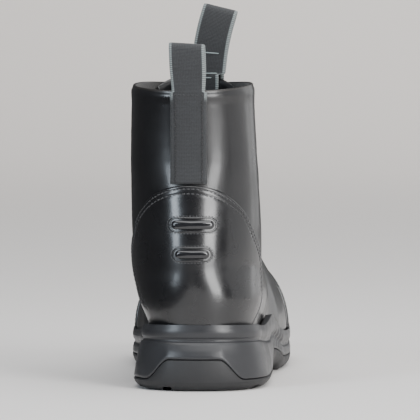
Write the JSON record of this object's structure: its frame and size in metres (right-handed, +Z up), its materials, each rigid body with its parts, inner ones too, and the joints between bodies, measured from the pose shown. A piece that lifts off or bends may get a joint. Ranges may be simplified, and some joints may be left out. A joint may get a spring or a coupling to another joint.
{
  "type": "paddock boot",
  "caption": "Ankle-high riding boot in polished black leather with a laced front, pull loops, a heel counter with spur rests and a moulded rubber cup sole",
  "frame": {"origin": "On the floor under the heel, in the middle of the last full lug of the heel tread (mount heel_rest).", "axes": "+Z up from the floor, +Y from the heel to the toe, +X to the outer side of the foot, which is the right foot."},
  "size_m": [0.095, 0.272, 0.2129],
  "materials": {
    "tread": "matte black rubber",
    "sole": "satin black rubber",
    "lining": "woven grey-brown lining",
    "upper": "smooth polished black leather",
    "overlay": "smooth polished black leather",
    "spur_rest": "glossy black moulding",
    "webbing": "ribbed black tape with a paler dotted selvedge",
    "lace": "flat woven black lace",
    "eyelet": "black enamelled metal"
  },
  "bodies": {
    "root": {"outsole": "tread", "midsole": "sole", "insole": "lining", "upper": "upper", "tongue": "upper", "heel_counter": "overlay", "toe_cap": "overlay", "eyestay": "overlay", "spur_rest_upper": "spur_rest", "spur_rest_lower": "spur_rest", "rear_pull_tape": "webbing", "front_pull_tape": "webbing", "eyelet_outer_1": "eyelet", "eyelet_inner_1": "eyelet", "eyelet_outer_2": "eyelet", "eyelet_inner_2": "eyelet", "eyelet_outer_3": "eyelet", "eyelet_inner_3": "eyelet", "eyelet_outer_4": "eyelet", "eyelet_inner_4": "eyelet", "eyelet_outer_5": "eyelet", "eyelet_inner_5": "eyelet", "eyelet_outer_6": "eyelet", "eyelet_inner_6": "eyelet", "lace": "lace"}
  },
  "joints": []
}
